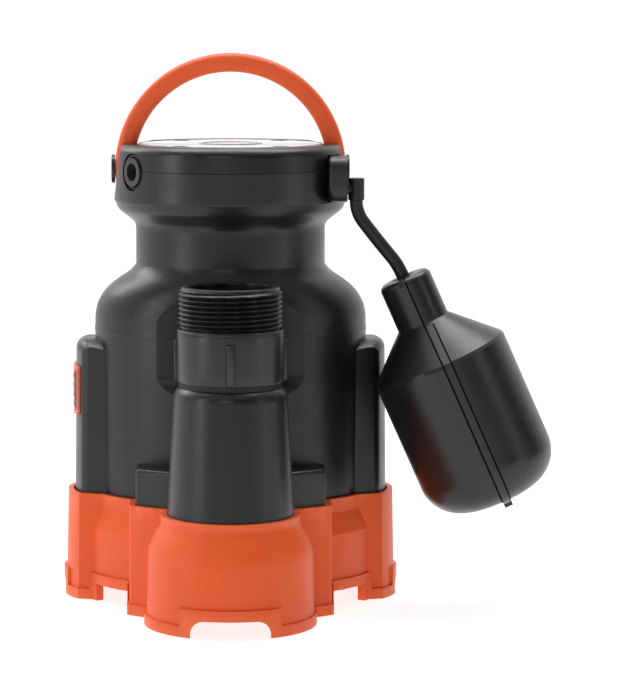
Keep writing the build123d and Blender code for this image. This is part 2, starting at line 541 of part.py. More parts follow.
# ---------------------------------------------------------------- carry handle
with BuildPart() as carry_handle:
    with BuildSketch(Plane.XZ.offset(-HANDLE_D / 2)) as bail:
        with Locations((0, PIVOT_Z)):
            Circle(HANDLE_R)
            Circle(HANDLE_R - HANDLE_T, mode=Mode.SUBTRACT)
        with Locations((0, PIVOT_Z - 40)):
            Rectangle(200, 80, mode=Mode.SUBTRACT)
    extrude(bail.sketch, amount=HANDLE_D)
    fillet([e for e in carry_handle.edges() if e.center().Z > PIVOT_Z + 20 and e.length > 100], 3.2)
    for sx in (-1, 1):
        eye = Pos(*PIVOT) * ((Sphere(HANDLE_R, mode=Mode.PRIVATE) - Sphere(HANDLE_R - HANDLE_T, mode=Mode.PRIVATE)) & (Rotation(0, 90, 0) * Pos(0, 0, sx * 50) * Cylinder(8.2, 40, mode=Mode.PRIVATE)))
        add(eye)
    with Locations(Location((0, 0, PIVOT_Z), (0, 90, 0))):
        Cylinder(3.08, 160, mode=Mode.SUBTRACT)
write(carry_handle, "carry_handle")

pins = []
for sx in (-1, 1):
    base = Plane(origin=(sx * 40.2, 0, PIVOT_Z), x_dir=(0, 1, 0), z_dir=(sx, 0, 0))
    pins.append(rod(base, 16.0, 2.995) + rod(base.offset(16.0), 1.5, 7.0))
handle_pivot_pins = shape(*pins)
write(handle_pivot_pins, "handle_pivot_pins")

# ---------------------------------------------------------------- wet end
VOL_Z0, VOL_Z1 = 13.0, 43.0
with BuildPart() as volute_casing:
    with BuildSketch(Plane.XY.offset(VOL_Z0)) as shell:
        with Locations((2, 0)):
            Circle(43)
        with Locations((0, RISER_Y)):
            Circle(23.4)
        with Locations((-6, -45)):
            Rectangle(34, 50)
    extrude(shell.sketch, amount=VOL_Z1 - VOL_Z0)
    with BuildSketch(Plane.XY.offset(VOL_Z0 + 3)) as room:
        with Locations((2, 0)):
            Circle(40)
        with Locations((0, RISER_Y)):
            Circle(PASS_R)
        with Locations((-6, -45)):
            Rectangle(26, 46)
    extrude(room.sketch, amount=VOL_Z1 - VOL_Z0 - 6, mode=Mode.SUBTRACT)
    add(ring(VOL_Z1 - 4, VOL_Z1 + 1, 38), mode=Mode.SUBTRACT)
    add(ring(VOL_Z1 - 4, VOL_Z1 + 1, PASS_R, at=(0, RISER_Y)), mode=Mode.SUBTRACT)
    add(ring(VOL_Z1 - 0.01, SKIRT_Z, 23.4, PASS_R, at=(0, RISER_Y)))
    add(ring(VOL_Z0 - 1, VOL_Z0 + 4, 18.5), mode=Mode.SUBTRACT)
write(volute_casing, "volute_casing")

wear_ring = shape(ring(10.5, 17.0, 18.3, 15.5) + ring(10.5, 12.9, 20.8, 15.5))
write(wear_ring, "suction_wear_ring")

seal_plate_z0, seal_plate_z1 = 45.6, 51.0
with BuildPart() as seal_plate:
    with BuildSketch(Plane.XY.offset(seal_plate_z0)) as sp:
        Ellipse(BODY_A - WALL - 0.1, BODY_B - WALL - 0.1)
    extrude(sp.sketch, amount=seal_plate_z1 - seal_plate_z0)
    add(ring(40.0, seal_plate_z0 + 0.1, 37.7))
    add(ring(seal_plate_z1 - 0.1, 67.0, 21.0))
    add(ring(56.9, 68, BRG_R), mode=Mode.SUBTRACT)
    add(ring(49.4, 58, 13.0), mode=Mode.SUBTRACT)
    add(ring(30, 60, 8.0), mode=Mode.SUBTRACT)
    add(ring(39, 45.0, 12.0), mode=Mode.SUBTRACT)
write(seal_plate, "seal_plate")
volute_gasket = shape(ring(VOL_Z1, seal_plate_z0, 42.5, 38.0))
write(volute_gasket, "volute_gasket")

write(shape(ring(40.2, 45.0, 12.0, 6.6)), "seal_seat")
write(shape(ring(36.5, 40.15, 11.0, SHAFT_R + 0.0)), "rotary_seal_ring")
with BuildPart() as seal_spring:
    with BuildLine() as coil:
        Helix(pitch=1.4, height=2.8, radius=8.6, center=(0, 0, 33.25))
    with BuildSketch(Plane(origin=coil.line @ 0, z_dir=coil.line % 0)) as wire:
        Circle(0.4)
    sweep(wire.sketch, path=coil.line)
write(seal_spring, "seal_spring")
write(shape(ring(49.4, 55.4, 13.0, SHAFT_R + 0.06)), "lip_seal")


def bearing(z0):
    outer_ring = ring(z0, z0 + 10, BRG_R, 13.0) - Pos(0, 0, z0 + 5) * Torus(11.1, 2.45, mode=Mode.PRIVATE)
    inner_ring = ring(z0, z0 + 10, 9.2, SHAFT_R) - Pos(0, 0, z0 + 5) * Torus(11.1, 2.45, mode=Mode.PRIVATE)
    balls = [Pos(11.1 * math.cos(k * math.pi / 4), 11.1 * math.sin(k * math.pi / 4), z0 + 5) * Sphere(2.38, mode=Mode.PRIVATE) for k in range(8)]
    return outer_ring, inner_ring, balls


for label, z0 in (("lower", 56.95), ("upper", 142.0)):
    o, i, balls = bearing(z0)
    write(shape(o), label + "_bearing_outer_ring")
    write(shape(i), label + "_bearing_inner_ring")
    write(shape(*balls), label + "_bearing_balls")

# ---------------------------------------------------------------- rotor
with BuildPart() as shaft:
    with BuildSketch(Plane.XZ) as sh:
        with BuildLine():
            Polyline((0, 12.5), (3.9, 12.5), (4.0, 12.7), (4.0, 20.0), (5.0, 20.0), (5.0, 32.8), (SHAFT_R, 32.8),
                     (SHAFT_R, 66.95), (8.0, 66.95), (8.0, 141.9), (SHAFT_R, 141.9), (SHAFT_R, 152.5), (0, 152.5), (0, 12.5))
        make_face()
    revolve(sh.sketch, axis=Axis.Z)
write(shaft, "shaft")

with BuildPart() as impeller:
    add(ring(29.5, 32.8, 34.0, 5.0))
    add(ring(20.0, 29.6, 9.0, 5.0))
    add(ring(18.0, 20.2, 34.0, 15.8))
    vane_line = None
    for k in range(6):
        with BuildSketch(Plane.XY.offset(20.0)) as vane:
            with BuildLine():
                v0 = ThreePointArc((8.5, 0), (22.0, -7.5), (32.6, -20.0 + 8.0))
                v1 = ThreePointArc((8.5, 2.6), (22.0, -5.0), (32.2, -9.0))
                Line((8.5, 0), (8.5, 2.6))
                Line((32.6, -12.0), (32.2, -9.0))
            make_face()
        blade = extrude(vane.sketch, amount=9.6, mode=Mode.PRIVATE)
        add(Rotation(0, 0, 60 * k) * blade)
write(impeller, "impeller")
write(shape(ring(18.4, 20.0, 8.6, 4.0)), "impeller_washer")
with BuildPart() as impeller_nut:
    with BuildSketch(Plane.XY.offset(13.4)) as hexagon:
        RegularPolygon(radius=7.2, side_count=6)
        Circle(4.0, mode=Mode.SUBTRACT)
    extrude(hexagon.sketch, amount=5.0)
write(impeller_nut, "impeller_nut")

write(shape(ring(CORE_Z0, CORE_Z1, ROTOR_R, 8.0)), "rotor_core")
write(shape(ring(CORE_Z0 - 6, CORE_Z0, ROTOR_R - 0.5, 13.0), ring(CORE_Z1, CORE_Z1 + 6, ROTOR_R - 0.5, 13.0)), "rotor_end_rings")

# ---------------------------------------------------------------- stator and upper end
with BuildPart() as stator_core:
    add(ring(CORE_Z0, CORE_Z1, STATOR_R, STATOR_BORE))
    with PolarLocations(29.0, 12):
        Box(9.0, 5.0, 400, mode=Mode.SUBTRACT)
write(stator_core, "stator_core")
with BuildPart() as windings:
    add(ring(CORE_Z0 - 11, CORE_Z0 - 0.0, 35.0, 24.5))
    add(ring(CORE_Z1 + 0.0, CORE_Z1 + 11, 35.0, 24.5))
    with Locations((0, 0, (CORE_Z0 + CORE_Z1) / 2)):
        with PolarLocations(29.0, 12):
            Box(8.6, 4.6, CORE_Z1 - CORE_Z0 + 2)
    fillet([e for e in windings.edges() if e.geom_type == GeomType.CIRCLE and abs(e.center().Z - 101) > 30 and e.radius > 30], 3.0)
write(windings, "stator_windings")
write(shape(ring(seal_plate_z1, 136.0, 39.4, STATOR_R)), "stator_sleeve")

with BuildPart() as bracket:
    add(ring(136.0, 139.0, 39.4))
    add(ring(138.9, 152.0, 20.0))
    add(ring(141.9, 153, BRG_R), mode=Mode.SUBTRACT)
    add(ring(130, 150, 9.5), mode=Mode.SUBTRACT)
    with PolarLocations(30.0, 6):
        Cylinder(5.0, 400, mode=Mode.SUBTRACT)
write(bracket, "upper_bearing_bracket")

write(shape(ring(157.0, 202.0, 15.0, at=(-14, 12)) + ring(202.0, 204.0, 12.0, at=(-14, 12))), "capacitor")
with BuildPart() as clamp:
    add(ring(153.0, 157.0, 42.3) & (Pos(0, 20, 155) * Box(200, 119, 10, mode=Mode.PRIVATE)))
    add(ring(157.0, 169.0, 17.0, 15.0, at=(-14, 12)))
    with Locations((20, -24, 155), (10, 30, 155)):
        Cylinder(6, 10, mode=Mode.SUBTRACT)
write(clamp, "capacitor_tray")
with BuildPart() as terminal:
    with Locations((18, 4, 164)):
        Box(14, 26, 13.9)
    with GridLocations(1, 8, 1, 3):
        with Locations((18, 4, 171)):
            Box(8, 5, 6, mode=Mode.SUBTRACT)
write(terminal, "terminal_block")
with BuildPart() as protector:
    with Locations((-10, -25, 160)):
        Box(22, 9, 5.9)
write(protector, "thermal_protector")

write(badge_plate, "badge_plate")
screws = []
for x, y in BASE_SCREWS:
    screws.append(ring(DECK_Z0 - 1.4, DECK_Z0 + 2.4, 4.4, at=(x, y)) + ring(DECK_Z0 + 2.4, 61.0, 1.9, at=(x, y)))
write(shape(*screws), "base_screws")
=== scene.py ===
"""Submersible sump pump: the looks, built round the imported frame."""
import json
import math

import bmesh
import bpy
from mathutils import Matrix, Vector


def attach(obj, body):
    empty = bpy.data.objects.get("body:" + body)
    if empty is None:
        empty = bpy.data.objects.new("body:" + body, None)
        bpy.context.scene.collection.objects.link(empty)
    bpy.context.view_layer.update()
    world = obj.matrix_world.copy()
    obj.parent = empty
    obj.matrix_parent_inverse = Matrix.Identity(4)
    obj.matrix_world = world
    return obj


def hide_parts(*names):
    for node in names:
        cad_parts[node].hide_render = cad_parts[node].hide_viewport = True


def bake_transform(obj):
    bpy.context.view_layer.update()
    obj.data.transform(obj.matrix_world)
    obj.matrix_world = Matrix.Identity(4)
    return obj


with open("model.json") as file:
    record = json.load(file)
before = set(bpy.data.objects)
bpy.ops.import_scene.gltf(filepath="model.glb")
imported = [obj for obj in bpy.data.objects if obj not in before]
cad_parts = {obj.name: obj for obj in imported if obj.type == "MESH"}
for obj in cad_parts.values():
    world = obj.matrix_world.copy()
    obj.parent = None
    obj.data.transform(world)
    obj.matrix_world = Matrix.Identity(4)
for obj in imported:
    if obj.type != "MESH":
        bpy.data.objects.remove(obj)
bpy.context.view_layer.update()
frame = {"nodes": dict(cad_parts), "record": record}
NODES = frame["nodes"]
scene = bpy.context.scene
mm = 0.001


# ------------------------------------------------------------------ camera, light, floor
cam = bpy.data.cameras.new("studio_camera")
cam.lens, cam.sensor_width, cam.sensor_fit = 150.6, 36.0, "AUTO"
cam.shift_x = 0.1114
cam.clip_start, cam.clip_end = 0.05, 30.0
camera = bpy.data.objects.new("studio_camera", cam)
camera.location = (0.0, -1.4251, 0.2871)
camera.rotation_euler = (math.radians(90 - 6.72), 0.0, 0.0)
scene.collection.objects.link(camera)
scene.camera = camera
scene.view_settings.view_transform = "Standard"
scene.view_settings.look = "None"


def area(name, loc, target, size, size_y, power, colour=(1, 1, 1)):
    data = bpy.data.lights.new(name, "AREA")
    data.shape, data.size, data.size_y, data.energy, data.color = "RECTANGLE", size, size_y, power, colour
    o = bpy.data.objects.new(name, data)
    o.location = loc
    o.rotation_euler = (Vector(target) - Vector(loc)).to_track_quat("-Z", "Y").to_euler()
    scene.collection.objects.link(o)
    return o


area("softbox_left", (-1.15, -0.70, 0.40), (0, 0, 0.12), 0.35, 1.0, 4.2)
area("softbox_right", (1.20, -0.60, 0.40), (0.03, 0, 0.12), 0.30, 1.0, 1.2)
area("softbox_rim_left", (-0.80, 0.70, 0.85), (-0.02, 0, 0.14), 0.50, 0.50, 3.2)
area("softbox_top", (0.02, 0.24, 1.24), (0, 0, 0.12), 1.3, 0.62, 14.5)
area("softbox_front", (-0.35, -1.9, 0.80), (0, 0, 0.1), 0.8, 0.5, 3.4)

world = bpy.data.worlds.new("studio")
scene.world = world
world.use_nodes = True
wt = world.node_tree
wt.nodes.clear()
w_out = wt.nodes.new("ShaderNodeOutputWorld")
w_bg = wt.nodes.new("ShaderNodeBackground")
w_tc = wt.nodes.new("ShaderNodeTexCoord")
w_sep = wt.nodes.new("ShaderNodeSeparateXYZ")
w_y = wt.nodes.new("ShaderNodeMapRange")
w_z = wt.nodes.new("ShaderNodeMapRange")
for node, vals in ((w_y, (-0.25, 0.50, 0.035, 1.08)), (w_z, (0.35, 0.90, 0.0, 0.60))):
    for key, v in zip(("From Min", "From Max", "To Min", "To Max"), vals):
        node.inputs[key].default_value = v
    node.interpolation_type = "SMOOTHSTEP"
w_max = wt.nodes.new("ShaderNodeMath")
w_max.operation = "MAXIMUM"
w_dot = wt.nodes.new("ShaderNodeVectorMath")
w_dot.operation = "DOT_PRODUCT"
w_dot.inputs[1].default_value = (-0.26, 0.966, 0.0)
wt.links.new(w_tc.outputs["Generated"], w_sep.inputs[0])
wt.links.new(w_tc.outputs["Generated"], w_dot.inputs[0])
wt.links.new(w_dot.outputs["Value"], w_y.inputs["Value"])
wt.links.new(w_sep.outputs["Z"], w_z.inputs["Value"])
wt.links.new(w_y.outputs["Result"], w_max.inputs[0])
wt.links.new(w_z.outputs["Result"], w_max.inputs[1])
wt.links.new(w_max.outputs["Value"], w_bg.inputs["Strength"])
w_bg.inputs["Color"].default_value = (1, 1, 1, 1)
wt.links.new(w_bg.outputs[0], w_out.inputs["Surface"])


# ------------------------------------------------------------------ materials
def nt_of(name):
    m = bpy.data.materials.new(name)
    m.use_nodes = True
    t = m.node_tree
    return m, t, t.nodes["Principled BSDF"]


def noise(t, scale, detail=3.0, rough=0.5, stretch=None):
    tc = t.nodes.new("ShaderNodeTexCoord")
    n = t.nodes.new("ShaderNodeTexNoise")
    n.inputs["Scale"].default_value = scale
    n.inputs["Detail"].default_value = detail
    n.inputs["Roughness"].default_value = rough
    if stretch:
        mp = t.nodes.new("ShaderNodeMapping")
        mp.inputs["Scale"].default_value = stretch
        t.links.new(tc.outputs["Object"], mp.inputs["Vector"])
        t.links.new(mp.outputs["Vector"], n.inputs["Vector"])
    else:
        t.links.new(tc.outputs["Object"], n.inputs["Vector"])
    return n.outputs["Fac"]


def remap(t, value, lo, hi, a=0.3, b=0.7):
    m = t.nodes.new("ShaderNodeMapRange")
    m.inputs["From Min"].default_value, m.inputs["From Max"].default_value = a, b
    m.inputs["To Min"].default_value, m.inputs["To Max"].default_value = lo, hi
    t.links.new(value, m.inputs["Value"])
    return m.outputs["Result"]


def mix(t, fac, a, b):
    m = t.nodes.new("ShaderNodeMix")
    m.data_type = "RGBA"
    t.links.new(fac, m.inputs["Factor"])
    for sock, v in ((m.inputs["A"], a), (m.inputs["B"], b)):
        if isinstance(v, tuple):
            sock.default_value = (*v, 1.0)
        else:
            t.links.new(v, sock)
    return m.outputs["Result"]


def moulded(name, rgb, rough=0.42, vary=0.07, grain=1500.0, depth=0.035, shade=0.82, edge=None, spec=0.5, cloud=22.0):
    """Moulded plastic or rubber: cloudy tone, uneven gloss, fine tool-texture grain, rubbed edges."""
    m, t, p = nt_of(name)
    dark = tuple(c * shade for c in rgb)
    col = mix(t, remap(t, noise(t, cloud, 4.0, 0.6), 0.0, 1.0, 0.32, 0.68), dark, rgb)
    if edge:
        g = t.nodes.new("ShaderNodeNewGeometry")
        worn = remap(t, g.outputs["Pointiness"], 0.0, 0.55, 0.53, 0.62)
        col = mix(t, worn, col, edge)
    t.links.new(col, p.inputs["Base Color"])
    t.links.new(remap(t, noise(t, 70.0, 5.0, 0.65), rough - vary, rough + vary, 0.3, 0.7), p.inputs["Roughness"])
    p.inputs["Specular IOR Level"].default_value = spec
    b = t.nodes.new("ShaderNodeBump")
    b.inputs["Strength"].default_value = depth * 6
    b.inputs["Distance"].default_value = 0.00006
    t.links.new(noise(t, grain, 2.0, 0.5), b.inputs["Height"])
    t.links.new(b.outputs["Normal"], p.inputs["Normal"])
    return m


def metal(name, rgb, rough=0.3, vary=0.1, stretch=(1, 1, 14), scale=220.0):
    """Machined or drawn metal with directional tool marks."""
    m, t, p = nt_of(name)
    p.inputs["Metallic"].default_value = 1.0
    lines = noise(t, scale, 3.0, 0.6, stretch)
    t.links.new(mix(t, remap(t, lines, 0.0, 1.0, 0.35, 0.65), tuple(c * 0.8 for c in rgb), rgb), p.inputs["Base Color"])
    t.links.new(remap(t, lines, rough - vary, rough + vary, 0.35, 0.65), p.inputs["Roughness"])
    b = t.nodes.new("ShaderNodeBump")
    b.inputs["Strength"].default_value = 0.25
    b.inputs["Distance"].default_value = 0.00005
    t.links.new(lines, b.inputs["Height"])
    t.links.new(b.outputs["Normal"], p.inputs["Normal"])
    return m


BLACK = moulded("black_thermoplastic", (0.0072, 0.0072, 0.0075), 0.35, 0.05, 1500.0, 0.03, 0.86, (0.015, 0.015, 0.0155), 0.45)
ADAPT = moulded("black_adapter", (0.0100, 0.0100, 0.0103), 0.34, 0.05, 1500.0, 0.03, 0.86, (0.024, 0.024, 0.025), 0.5)
# Darker copy of the adapter's black: painted shade on the thread flanks, inside the bore and in the rib outlines.
THREAD_PAINTED_SHADE = moulded("black_thread_painted_shade", (0.0035, 0.0035, 0.0036), 0.36, 0.05, 1500.0, 0.03, 0.9, None, 0.34)
FLOATM = moulded("float_polypropylene", (0.0100, 0.0100, 0.0103), 0.33, 0.05, 1300.0, 0.025, 0.85, (0.024, 0.024, 0.025), 0.5)
ORANGE = moulded("orange_thermoplastic", (0.80, 0.098, 0.014), 0.46, 0.05, 1400.0, 0.03, 0.93, (0.86, 0.17, 0.06), 0.35)
HANDLEM = moulded("orange_handle", (0.78, 0.095, 0.014), 0.44, 0.05, 1200.0, 0.035, 0.93, (0.86, 0.18, 0.07), 0.42)
WHITE = moulded("white_disc", (0.56, 0.56, 0.558), 0.26, 0.05, 900.0, 0.01, 0.95, None, 0.5)
RUBBER = moulded("black_rubber", (0.012, 0.012, 0.012), 0.62, 0.08, 900.0, 0.05, 0.8, None, 0.35)
CORDM = moulded("cord_jacket", (0.010, 0.010, 0.0105), 0.50, 0.07, 800.0, 0.06, 0.8, None, 0.4)
NYLON = moulded("glass_filled_nylon", (0.035, 0.035, 0.038), 0.5, 0.08, 700.0, 0.06, 0.75, (0.09, 0.09, 0.09))
STEEL = metal("stainless_steel", (0.60, 0.60, 0.59), 0.28)
BEARING = metal("bearing_steel", (0.72, 0.72, 0.73), 0.16, 0.06)
LAMIN = metal("lamination_stack", (0.30, 0.30, 0.31), 0.45, 0.12, (1, 1, 60), 60.0)
COPPER = metal("varnished_copper", (0.66, 0.27, 0.10), 0.32, 0.1, (1, 1, 5), 300.0)
ALLOY = metal("die_cast_alloy", (0.66, 0.67, 0.68), 0.42, 0.1, (1, 1, 1), 260.0)
CERAMIC = moulded("seal_ceramic", (0.72, 0.69, 0.62), 0.22, 0.05, 1200.0, 0.01, 0.95)
CAN = moulded("capacitor_can", (0.32, 0.33, 0.35), 0.32, 0.06, 800.0, 0.02, 0.9)
DARKSCREW = metal("dark_screw", (0.20, 0.20, 0.20), 0.35)
PIN = metal("black_oxide_pin", (0.055, 0.055, 0.057), 0.34)
BADGE = moulded("badge_frame", (0.52, 0.055, 0.02), 0.38, 0.05, 1000.0, 0.02, 0.9, (0.8, 0.2, 0.12))
SLEEVE = moulded("grey_sleeve", (0.030, 0.032, 0.035), 0.5, 0.06, 900.0, 0.03, 0.85)

LOOK = {
    "black_plastic": BLACK, "orange_plastic": ORANGE, "white_plate": WHITE, "float_plastic": FLOATM, "cord_rubber": CORDM,
    "seal_rubber": RUBBER, "stainless": STEEL, "shaft_steel": STEEL, "bearing_steel": BEARING, "impeller_plastic": NYLON,
    "casing_plastic": NYLON, "lamination_steel": LAMIN, "copper": COPPER, "cast_alloy": ALLOY, "ceramic": CERAMIC,
    "capacitor_film": CAN, "badge_plastic": BADGE, "black_pin": PIN,
}
SLOT_OF = {s["node"]: s["material_slot"] for s in frame["record"]["subparts"]}
for name, o in NODES.items():
    m = LOOK[SLOT_OF[name]]
    if name == "carry_handle":
        m = HANDLEM
    if name == "cap_screws":
        m = DARKSCREW
    if name == "gland_sleeve":
        m = SLEEVE
    for s in o.material_slots:
        s.material = m
    if not o.material_slots:
        o.data.materials.append(m)


# ------------------------------------------------------------------ mesh helpers
def piece(name, verts, faces, mat, body, smooth=True):
    me = bpy.data.meshes.new(name)
    me.from_pydata([tuple(v) for v in verts], [], faces)
    me.update()
    for f in me.polygons:
        f.use_smooth = smooth
    me.materials.append(mat)
    o = bpy.data.objects.new(name, me)
    scene.collection.objects.link(o)
    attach(o, body)
    return o


def sharpen(o, degrees=35.0):
    """Keeps corners crisp on a smooth-shaded mesh."""
    bm = bmesh.new()
    bm.from_mesh(o.data)
    for e in bm.edges:
        if len(e.link_faces) == 2 and e.calc_face_angle(0) > math.radians(degrees):
            e.smooth = False
    bm.to_mesh(o.data)
    bm.free()
    return o


def rounded_box(bm, lo, hi, r, seg=3, matrix=None):
    """Adds a box with all its edges rounded to a bmesh."""
    got = bmesh.ops.create_cube(bm, size=1.0)
    vs = got["verts"]
    c = (Vector(lo) + Vector(hi)) / 2
    d = Vector(hi) - Vector(lo)
    for v in vs:
        v.co = Vector((v.co.x * d.x, v.co.y * d.y, v.co.z * d.z)) + c
    edges = list({e for v in vs for e in v.link_edges})
    out = bmesh.ops.bevel(bm, geom=edges, offset=r, segments=seg, profile=0.5, affect="EDGES", clamp_overlap=True)
    if matrix is not None:
        found = {v for f in out["faces"] for v in f.verts} | {v for v in vs if v.is_valid}
        more = set(found)
        for v in found:
            for f in v.link_faces:
                more |= set(f.verts)
        for v in more:
            v.co = matrix @ v.co


# ------------------------------------------------------------------ float cord
EXIT = (0.0599, -0.031, 0.1949)
NECK = (0.0826, -0.031, 0.1580)
ROUTE = [EXIT, (0.0599, -0.031, 0.1890), (0.0665, -0.031, 0.1803), (0.0745, -0.031, 0.1704), (0.0799, -0.031, 0.1640), NECK]
guide = bpy.data.curves.new("cord_line", "CURVE")
guide.dimensions = "3D"
guide.resolution_u = 24
sp = guide.splines.new("NURBS")
sp.points.add(len(ROUTE) - 1)
for pt, co in zip(sp.points, ROUTE):
    pt.co = (*co, 1.0)
sp.order_u = 3
sp.use_endpoint_u = True
guide_o = bpy.data.objects.new("cord_line", guide)
scene.collection.objects.link(guide_o)
bpy.context.view_layer.update()
line = bpy.data.meshes.new_from_object(guide_o)
PATH = [v.co.copy() for v in line.vertices]
bpy.data.objects.remove(guide_o)


def tube(name, path, radius_at, seg, mat):
    """A round tube that follows points in one plane (y constant)."""
    verts, faces = [], []
    n = len(path)
    for i, c in enumerate(path):
        a, b = path[max(i - 1, 0)], path[min(i + 1, n - 1)]
        d = (b - a).normalized()
        side = Vector((0, 1, 0))
        up = d.cross(side).normalized()
        r = radius_at(i / (n - 1))
        for k in range(seg):
            t = 2 * math.pi * k / seg
            verts.append(c + (side * math.cos(t) + up * math.sin(t)) * r)
    for i in range(n - 1):
        for k in range(seg):
            j = (k + 1) % seg
            faces.append((i * seg + k, i * seg + j, (i + 1) * seg + j, (i + 1) * seg + k))
    faces.append(tuple(range(seg))[::-1])
    faces.append(tuple((n - 1) * seg + k for k in range(seg)))
    me = bpy.data.meshes.new(name)
    me.from_pydata([tuple(v) for v in verts], [], faces)
    me.update()
    for f in me.polygons:
        f.use_smooth = len(f.vertices) == 4
    me.materials.append(mat)
    o = bpy.data.objects.new(name, me)
    scene.collection.objects.link(o)
    return o


cord = tube("float_cord_jacket", PATH, lambda s: 0.0031, 40, CORDM)
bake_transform(cord)
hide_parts("float_cord")

# ------------------------------------------------------------------ discharge adapter with a real helical thread
AX, AY = 0.0, -77.3 * mm
ROOT, CREST, PITCH = 22.75, 24.13, 2.209
SEG = 144


def thread_r(z, turn):
    f = ((z - 138.9) / PITCH - turn) % 1.0
    h = f / 0.44 if f < 0.44 else 1.0 if f < 0.56 else (1.0 - f) / 0.44
    fade = min(1.0, max(0.0, (z - 138.6) / 1.1)) * min(1.0, max(0.0, (156.9 - z) / 0.9))
    return ROOT + (CREST - ROOT) * h * fade


rows = [(22.1, 98.6), (22.1, 113.8), (24.15, 113.8), (24.45, 113.88), (24.7, 114.1), (24.8, 114.45), (24.8, 120.0), (24.8, 130.0),
        (24.8, 136.2), (24.78, 136.45), (24.55, 136.6), (24.55, 136.85), (24.78, 137.0), (24.8, 137.2), (24.72, 137.75), (24.5, 138.1),
        (24.15, 138.28), (23.2, 138.3), (22.8, 138.35)]
z = 138.6
while z < 157.05:
    rows.append((None, z))
    z += PITCH / 16
rows += [(22.75, 157.2), (22.7, 157.6), (22.5, 157.82), (22.2, 157.9), (20.0, 157.9), (19.62, 157.8), (19.42, 157.5), (19.4, 157.0),
         (19.4, 140.0), (19.4, 118.0), (19.4, 98.6)]
verts, faces = [], []
for r, z in rows:
    for k in range(SEG):
        t = 2 * math.pi * k / SEG
        rr = (thread_r(z, k / SEG) if r is None else r) * mm
        verts.append((AX + rr * math.cos(t), AY + rr * math.sin(t), z * mm))
for i in range(len(rows)):
    for k in range(SEG):
        j, i2 = (k + 1) % SEG, (i + 1) % len(rows)
        faces.append((i * SEG + k, i * SEG + j, i2 * SEG + j, i2 * SEG + k))
adapter = sharpen(piece("discharge_adapter_threaded", verts, faces, ADAPT, "pump"), 38)
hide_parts("discharge_adapter")
# The thread band and the inside of the bore take the darker copy of the black: painted shade.
adapter.data.materials.append(THREAD_PAINTED_SHADE)
for f in adapter.data.polygons:
    c = f.center
    if 0.1384 < c.z < 0.1570 and math.hypot(c.x - AX, c.y - AY) > 22.6 * mm:
        f.material_index = 1
    elif c.z > 0.1180 and math.hypot(c.x - AX, c.y - AY) < 19.6 * mm:
        f.material_index = 1
bm = bmesh.new()
for k in range(4):
    rot = Matrix.Translation((AX, AY, 0)) @ Matrix.Rotation(math.radians(90 * k), 4, "Z")
    one = bmesh.new()
    rounded_box(one, (24.2 * mm, -1.75 * mm, 114.4 * mm), (26.1 * mm, 1.75 * mm, 133.2 * mm), 0.45 * mm)
    one.transform(rot)
    tmp = bpy.data.meshes.new("t")
    one.to_mesh(tmp)
    one.free()
    bm.from_mesh(tmp)
me = bpy.data.meshes.new("adapter_wrench_ribs")
bm.to_mesh(me)
bm.free()
for f in me.polygons:
    f.use_smooth = True
me.materials.append(ADAPT)
ribs = bpy.data.objects.new("adapter_wrench_ribs", me)
scene.collection.objects.link(ribs)
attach(ribs, "pump")

# Near-black strips beside each wrench rib, across its top and a small mark on its face: painted shade of a groove and a
# notch.
rib_shade_outline = bmesh.new()
for k in range(4):
    rot = Matrix.Translation((AX, AY, 0)) @ Matrix.Rotation(math.radians(90 * k), 4, "Z")
    for lo, hi in (((24.55, -2.20, 114.3), (24.83, -1.80, 133.6)), ((24.55, 1.80, 114.3), (24.83, 2.20, 133.6)),
                   ((24.55, -2.20, 133.2), (24.85, 2.20, 133.65)), ((25.9, -0.95, 131.3), (26.13, 0.95, 131.75)),
                   ((25.9, -0.55, 131.7), (26.13, 0.55, 132.15))):
        one = bmesh.new()
        rounded_box(one, tuple(v * mm for v in lo), tuple(v * mm for v in hi), 0.08 * mm, 2)
        one.transform(rot)
        tmp = bpy.data.meshes.new("t")
        one.to_mesh(tmp)
        one.free()
        rib_shade_outline.from_mesh(tmp)
me = bpy.data.meshes.new("rib_painted_shade_outlines")
rib_shade_outline.to_mesh(me)
rib_shade_outline.free()
me.materials.append(THREAD_PAINTED_SHADE)
rib_shade_marks = bpy.data.objects.new("rib_painted_shade_outlines", me)
scene.collection.objects.link(rib_shade_marks)
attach(rib_shade_marks, "pump")


def along(name, pts_faces, mat, degrees=40):
    verts, faces = pts_faces
    return sharpen(piece(name, verts, faces, mat, "pump"), degrees)


